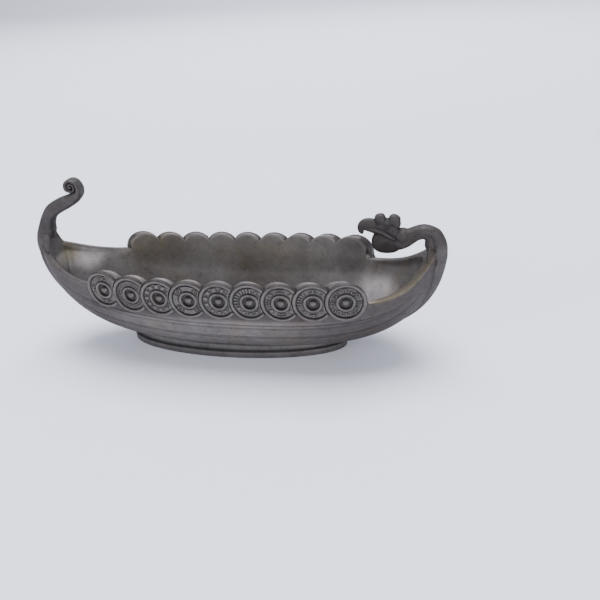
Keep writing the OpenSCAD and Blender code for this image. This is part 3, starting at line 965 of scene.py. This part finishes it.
class Nodes:
    """A new material, and the few ways in which nodes are added to it."""

    def __init__(self, name):
        self.material = bpy.data.materials.new(name)
        self.material.use_nodes = True
        self.tree = self.material.node_tree
        self.tree.nodes.clear()

    def add(self, kind, **settings):
        node = self.tree.nodes.new("ShaderNode" + kind)
        for key, value in settings.items():
            if key in node.inputs:
                node.inputs[key].default_value = value
            else:
                setattr(node, key, value)
        return node

    def link(self, source, target):
        self.tree.links.new(source, target)

    def noise(self, place, **settings):
        node = self.add("TexNoise", **settings)
        self.link(place, node.inputs["Vector"])
        return node.outputs["Fac"]

    def mark(self, name):
        """A number that finish_piece left at each point."""
        return self.add("Attribute", attribute_name=name, attribute_type="GEOMETRY").outputs["Fac"]

    def ramp(self, source, stops):
        """A grey or a colour for each source value, from (position, grey or colour) stops."""
        node = self.add("ValToRGB")
        while len(node.color_ramp.elements) < len(stops):
            node.color_ramp.elements.new(0.5)
        for element, (position, colour) in zip(node.color_ramp.elements, stops):
            element.position = position
            element.color = (*np.broadcast_to(colour, 3), 1.0)
        self.link(source, node.inputs["Fac"])
        return node.outputs["Color"]

    def tinted(self, colour, by, share):
        """A colour multiplied by another one, by a share that is a number or an output."""
        node = self.add("Mix", data_type="RGBA", blend_type="MULTIPLY")
        self.link(colour, node.inputs["A"])
        for source, key in ((by, "B"), (share, "Factor")):
            if isinstance(source, bpy.types.NodeSocket):
                self.link(source, node.inputs[key])
            else:
                node.inputs[key].default_value = source
        return node.outputs["Result"]

    def product(self, first, second):
        node = self.add("Math", operation="MULTIPLY", use_clamp=True)
        self.link(first, node.inputs[0])
        self.link(second, node.inputs[1])
        return node.outputs[0]

    def raised(self, value, by, times):
        """A value plus some times another one."""
        node = self.add("Math", operation="MULTIPLY_ADD")
        self.link(by, node.inputs[0])
        node.inputs[1].default_value = times
        self.link(value, node.inputs[2])
        return node.outputs[0]

    def finish(self, shader):
        output = self.add("OutputMaterial")
        self.link(shader.outputs["BSDF"], output.inputs["Surface"])
        return self.material


METALLIC = 0.62
# Darkening for tarnish, and for painted shade.
PATINA_AND_SHADE = (0.27, 0.235, 0.25, 1.0)
# Brightening for wear, and for painted highlights in the bowl.
RUBBED_AND_HIGHLIGHT = (4.5, 4.55, 4.7, 1.0)
OLIVE = (1.0, 0.93, 0.7, 1.0)
BROWN = (1.0, 0.88, 0.66, 1.0)


def pewter_colour(nodes, place, tone, tint, warmth, oxide_and_shade):
    """Clouded grey with fine spots and warm stains, dark in tarnish and painted shade, darker in hollows and
    lighter on edges (partly oxide, partly painted shade), bright where worn and in painted highlights.
    """
    cloud = nodes.noise(place, Scale=120.0, Detail=6.0, Roughness=0.65)
    speckle = nodes.noise(place, Scale=420.0, Detail=8.0, Roughness=0.75)
    warm = nodes.noise(place, Scale=60.0, Detail=5.0, Roughness=0.6, Distortion=1.0)
    metal = nodes.ramp(cloud, [(0.3, [c * tone * 0.8 for c in tint]), (0.7, [c * tone * 1.2 for c in tint])])
    spots = nodes.ramp(speckle, [(0.3, 0.55), (0.44, 0.9), (0.6, 1.0), (0.72, 1.25)])
    mottle = nodes.ramp(cloud, [(0.35, 0.55), (0.65, 1.0)])
    # Darker in hollows, lighter on edges: partly oxide, partly painted shade.
    hollow_oxide_and_shade = nodes.ramp(nodes.mark("hollow"),
                      [(0.0, 1.25), (0.3, 1.1), (0.5, 1.0), (0.72, 0.4 + 0.6 * oxide_and_shade), (1.0, oxide_and_shade)])
    colour = nodes.tinted(metal, spots, 1.0)
    colour = nodes.tinted(colour, BROWN, nodes.ramp(warm, [(0.5, 0.0), (0.72, warmth)]))
    # Darker in tarnish, and in painted shade.
    colour = nodes.tinted(colour, PATINA_AND_SHADE, nodes.product(nodes.mark("patina"), mottle))
    # Brighter where worn, and in painted highlights.
    colour = nodes.tinted(colour, RUBBED_AND_HIGHLIGHT, nodes.mark("rubbed"))
    colour = nodes.tinted(colour, OLIVE, nodes.product(nodes.mark("stain"), mottle))
    return nodes.tinted(colour, hollow_oxide_and_shade, 1.0)


def pewter_roughness(nodes, grain, shine):
    """Uneven by the grain, duller in hollows and patina, smoother where rubbed."""
    rough = nodes.add("MapRange", **{"From Min": 0.3, "From Max": 0.75, "To Min": shine,
                                               "To Max": shine + 0.16})
    nodes.link(grain, rough.inputs["Value"])
    rough = nodes.raised(rough.outputs["Result"], nodes.mark("hollow"), 0.16)
    rough = nodes.raised(rough, nodes.mark("rubbed"), -0.17)
    return nodes.raised(rough, nodes.mark("patina"), 0.16)


def pewter(name, tone, tint, shine, warmth, seed, oxide_and_shade=0.4):
    """Aged pewter: a dull grey metal with a fine uneven surface."""
    nodes = Nodes(name)
    shift = nodes.add("VectorMath", operation="ADD")
    shift.inputs[1].default_value = (seed, seed * 0.7, -seed)
    nodes.link(nodes.add("TexCoord").outputs["Object"], shift.inputs[0])
    place = shift.outputs[0]
    grain = nodes.noise(place, Scale=1100.0, Detail=6.0, Roughness=0.7)
    uneven = nodes.add("Bump", Strength=0.5, Distance=0.0002)
    nodes.link(grain, uneven.inputs["Height"])
    shader = nodes.add("BsdfPrincipled", **{"Metallic": METALLIC, "Specular IOR Level": 0.3,
                                                      "Specular Tint": (0.5, 0.5, 0.52, 1.0)})
    nodes.link(pewter_colour(nodes, place, tone, tint, warmth, oxide_and_shade), shader.inputs["Base Color"])
    nodes.link(pewter_roughness(nodes, grain, shine), shader.inputs["Roughness"])
    nodes.link(uneven.outputs["Normal"], shader.inputs["Normal"])
    return nodes.finish(shader)


def paper(name):
    nodes = Nodes(name)
    return nodes.finish(nodes.add("BsdfPrincipled", **{"Base Color": (0.86, 0.86, 0.945, 1.0),
                                                                 "Roughness": 0.85}))


# ---- Stage ----

CAMERA_AT = (60.93, -186.59, 123.38)
CAMERA_TURN = 11.3305
CAMERA_TILT = 29.0245
CAMERA_ROLL = -3.5537


def camera():
    """The photograph's view, from the starboard side and a little towards the bow."""
    data = bpy.data.cameras.new("camera")
    data.sensor_width = 36.0
    data.lens = 36.0
    data.clip_start = 0.01
    place = Matrix.Translation(Vector(CAMERA_AT) * MM)
    for angle, axis in ((CAMERA_TURN, "Z"), (90 - CAMERA_TILT, "X"), (CAMERA_ROLL, "Z")):
        place = place @ Matrix.Rotation(math.radians(angle), 4, axis)
    obj = put("camera", data)
    obj.matrix_world = place
    bpy.context.scene.camera = obj


def floor():
    """Pale paper that runs back from the dish and sweeps up behind it."""
    near, bend, tall, radius = -2.5, 2.2, 3.2, 1.2
    profile = [(near, 0.0)] + [(bend + radius * math.sin(a), radius * (1 - math.cos(a)))
                               for a in np.radians(np.linspace(0, 90, 19))] + [(bend + radius, tall)]
    points = [(x, y, z) for x in (-5.0, 5.0) for y, z in profile]
    count = len(profile)
    mesh = bpy.data.meshes.new("floor")
    mesh.from_pydata(points, [], [(k, k + count, k + count + 1, k + 1) for k in range(count - 1)])
    mesh.shade_smooth()
    mesh.materials.append(paper("pale_floor"))
    obj = put("floor", mesh)


COOL = (0.955, 0.96, 1.0)
NEUTRAL = (1.0, 0.99, 0.99)
SKY_COLOUR = (0.72, 0.78, 0.92, 1.0)
SKY_STRENGTH = 0.66


def softbox(name, at, aim, size, watts, colour):
    data = bpy.data.lights.new(name, "AREA")
    data.shape = "RECTANGLE"
    data.size, data.size_y = size
    data.energy = watts
    data.color = colour
    back = Vector(at) - Vector(aim)
    turned = back.to_track_quat("Z", "Y").to_matrix().to_4x4()
    put(name, data).matrix_world = Matrix.Translation(at) @ turned


def lights():
    """A soft sky, a ceiling, a wash on the backdrop and a low window towards each end."""
    world = bpy.data.worlds.new("studio")
    bpy.context.scene.world = world
    world.use_nodes = True
    background = world.node_tree.nodes["Background"]
    background.inputs["Color"].default_value = SKY_COLOUR
    background.inputs["Strength"].default_value = SKY_STRENGTH
    dish = (0, 0, 0.03)
    softbox("ceiling", (-0.1, 0.45, 1.6), (0, 0, 0), (1.3, 1.3), 56.0, COOL)
    softbox("backdrop_wash", (0.0, 0.9, 1.7), (0.0, 3.2, 0.9), (2.4, 0.6), 55.0, COOL)
    softbox("bow_side_window", (0.5, -0.86, 0.41), dish, (0.25, 0.25), 5.0, NEUTRAL)
    softbox("stern_side_window", (-0.77, -0.63, 0.36), dish, (0.25, 0.25), 3.2, NEUTRAL)


# ---- Patina, wear, painted shade and painted highlights, by place ----
# A patch is the centre of an egg-shaped place and its reach along x, y and z.

# Painted highlights where the lamps' reflections fall in the bowl: at the stern, on its end wall and at the
# bow.
STERN_PAINTED_HIGHLIGHT = (-61, 8.7, 30.5), (10, 8, 8)
STERN_END_PAINTED_LIGHT = (-66, 1, 32.5), (6, 8, 8)
BOW_PAINTED_HIGHLIGHT = (50, 11, 16.5), (12, 10, 9)
BROWN_SIDE = (-36, 18, 30), (22, 12, 12)
OLIVE_SIDE = (-36, 18, 30), (20, 10, 10)
OLIVE_MIDDLE = (5, 19, 27), (30, 9, 8)
OLIVE_STERN = (-66, 4, 33), (6, 6, 6)
DRAGON_HEAD = (52.5, 0, 44), (10, 9, 10)
# Painted shade for an eye socket under the crest; the cheek and beak below are painted highlights.
SOCKET_PAINTED_SHADE = (54.3, 0, 47.0), (3.6, 9, 2.6)
DRAGON_JAW = (54.6, 0, 40.5), (8, 9, 5.5)
CHEEK_PAINTED_HIGHLIGHT = (59.5, 0, 45.0), (3.0, 9, 3.0)
BEAK_PAINTED_HIGHLIGHT = (47.5, 0, 48.0), (4.5, 9, 3.0)
BOWL_MIDDLE = (0, 0, 60)


def patch(points, place):
    """1 at the middle of a patch, falling softly to 0 at its edge."""
    centre, reach = place
    return falling(0.2, 1.0, np.linalg.norm((points - centre) / reach, axis=1))


def bowl_side(points, normals):
    """1 on the bowl's side of the hull, 0 on the outside."""
    return smoothstep(0, 6, np.einsum("ij,ij->i", normals, BOWL_MIDDLE - points))


def over_gunwale(points):
    """Height over the gunwale's outer edge at the same x."""
    x = points[:, 0]
    stern, bow = (gunwale_z(side, np.abs(x) / end_of(side)["half"]) for side in (-1, 1))
    return points[:, 2] - np.where(x < 0, stern, bow)


def starboard_bow(points, low, high):
    """1 on the starboard side forward of `high`, falling to 0 at `low` and at the centre plane."""
    return smoothstep(low, high, points[:, 0]) * falling(-1, 2, points[:, 1])


def hull_patina(points, normals):
    """Tarnish out of the cloths' reach; painted shade under and between the shields and on the rim's tops.
    """
    x, z = points[:, 0], points[:, 2]
    # A dark band under and between the shields: tarnish, and painted shade.
    shield_band_tarnish_and_shade = smoothstep(19, 21.5, z) * falling(46, 56, np.abs(x)) * 0.9
    ends = np.where(x > 0, 0.72 * smoothstep(8, 42, x), 0.68 * smoothstep(20, 55, -x))
    outside = np.maximum(shield_band_tarnish_and_shade, ends)
    # Painted shade: the rim's upward-facing tops are darkened against the ceiling light.
    rim = smoothstep(-2.2, -0.8, over_gunwale(points)) * smoothstep(0.1, 0.6, normals[:, 2])
    clouds = 0.4 * patch(points, BROWN_SIDE) + 0.14 + 0.2 * ripple(points, 22, 5)
    # Less dark on the bow's starboard rim: a painted highlight.
    inside = np.maximum(rim * (0.9 - 0.3 * starboard_bow(points, 46, 50)), clouds)
    inner = bowl_side(points, normals)
    return outside * (1 - inner) + inside * inner


def hull_rubbed(points, normals):
    """Cleaner in the bowl; painted highlights, smoother there, at both ends and on the stern's end wall."""
    bright = most(patch(points, STERN_PAINTED_HIGHLIGHT), patch(points, BOW_PAINTED_HIGHLIGHT),
                  0.7 * patch(points, STERN_END_PAINTED_LIGHT))
    x = np.abs(points[:, 0])
    rim = smoothstep(-3.0, -1.0, over_gunwale(points)) * smoothstep(48, 54, x)
    inner = bowl_side(points, normals)
    planks = 0.05 * falling(30, 50, x) * (1 - inner)
    return (0.22 + 0.85 * bright) * inner * (1 - 0.9 * rim) + planks


def hull_stains_and_bow_highlight(points, normals):
    """Olive stains on the bowl's far side and stern end; a tan painted highlight on the bow's starboard rim.
    """
    rim = smoothstep(-2.0, -0.6, over_gunwale(points)) * smoothstep(0.3, 0.6, normals[:, 2])
    # A tan painted highlight on the bow's starboard rim.
    bow_rim_highlight = rim * starboard_bow(points, 46, 52) * (1 - 0.7 * smoothstep(35, 39, points[:, 2]))
    bowl = most(0.7 * patch(points, OLIVE_SIDE), 0.35 * patch(points, OLIVE_MIDDLE),
                patch(points, OLIVE_STERN))
    return np.maximum(bow_rim_highlight, bowl * bowl_side(points, normals))


def flare_patina(points, normals):
    """As on the hull, growing darker up towards the post."""
    low, deepest = (36, 0.5) if points[0, 0] < 0 else (33, 0.7)
    return np.maximum(hull_patina(points, normals), deepest * smoothstep(low, low + 5, points[:, 2]))


# The hull's wear and painted highlights, fading out up the post.
def flare_rubbed(points, normals):
    return hull_rubbed(points, normals) * falling(34, 39, points[:, 2])


def prow_patina(points, normals):
    """The dragon's head is dark and its jaw nearly black, with painted shade under the crest where an eye
    socket would lie, and painted highlights on the cheek and beak; the neck is a middling grey.
    """
    dark = most(0.75 * patch(points, DRAGON_HEAD), patch(points, SOCKET_PAINTED_SHADE), patch(points, DRAGON_JAW))
    dark *= (1 - 0.8 * patch(points, CHEEK_PAINTED_HIGHLIGHT)) * (1 - 0.45 * patch(points, BEAK_PAINTED_HIGHLIGHT))
    return np.maximum(0.22 + 0.43 * smoothstep(38, 43, points[:, 2]), dark)


def stern_patina(points, normals):
    return 0.3 + 0.15 * ripple(points, 12, 9) + 0.2 * smoothstep(38, 43, points[:, 2])


def shield_patina(points, normals):
    """A shield's upward-facing top and edge are darkened: tarnish, and painted shade against the ceiling
    light.
    """
    return smoothstep(0.2, 0.7, normals[:, 2])


# ---- The dish ----

TINT = (1.04, 0.975, 0.925)
FOOT_TINT = (1.0, 0.94, 0.95)


def hull_and_flares():
    metal = pewter("aged_pewter", 0.135, TINT, 0.4, 0.5, 0.0)
    bowl = hull()
    tree = hull_tree(bowl.data)
    bow_flare = flare("pewter_bow_flare", tree, 1, (66.95, 70.8), (68.0, 73.0, 1.9), 43.6, (2.6, 0.12, 6.0),
                      (12, 5))
    stern_flare = flare("pewter_stern_flare", tree, -1, (-71.8, -65.6), (-72.0, -67.9, 2.1), 44.4,
                        (2.8, 0.1, 6.0), (2, 1))
    finish_piece(bowl, ["hull"], "pewter_hull", metal, (14, 0.06),
                 patina=hull_patina, rubbed=hull_rubbed, stain=hull_stains_and_bow_highlight)
    for piece in (bow_flare, stern_flare):
        finish_piece(piece, ["hull"], "pewter_hull", metal, (14, 0.15),
                     patina=flare_patina, rubbed=flare_rubbed, stain=hull_stains_and_bow_highlight)


def foot_and_posts():
    worn = pewter("worn_foot_pewter", 0.105, FOOT_TINT, 0.45, 0.4, 8.3)
    carved = pewter("carved_pewter", 0.088, TINT, 0.38, 0.3, 3.1)
    finish_piece(foot_ring(), ["foot_ring"], "pewter_foot", worn, (4, 0.05))
    finish_piece(dragon_prow(), ["dragon_prow"], "pewter_carving", carved, (30, 0.12), patina=prow_patina)
    finish_piece(sternpost(), ["stern_scroll"], "pewter_carving", carved, (10, 0.09), patina=stern_patina)


def shields():
    embossed = pewter("embossed_pewter", 0.108, TINT, 0.42, 0.2, 5.7, 0.5)
    for side, word in ((-1, "starboard"), (1, "port")):
        for i in range(1, SHIELDS + 1):
            node = f"shield_{word}_{i}"
            piece = shield("pewter_" + node, i, side)
            finish_piece(piece, [node], "pewter_shield", embossed, (50, 0.06), patina=shield_patina)


hull_and_flares()
foot_and_posts()
shields()
camera()
floor()
lights()
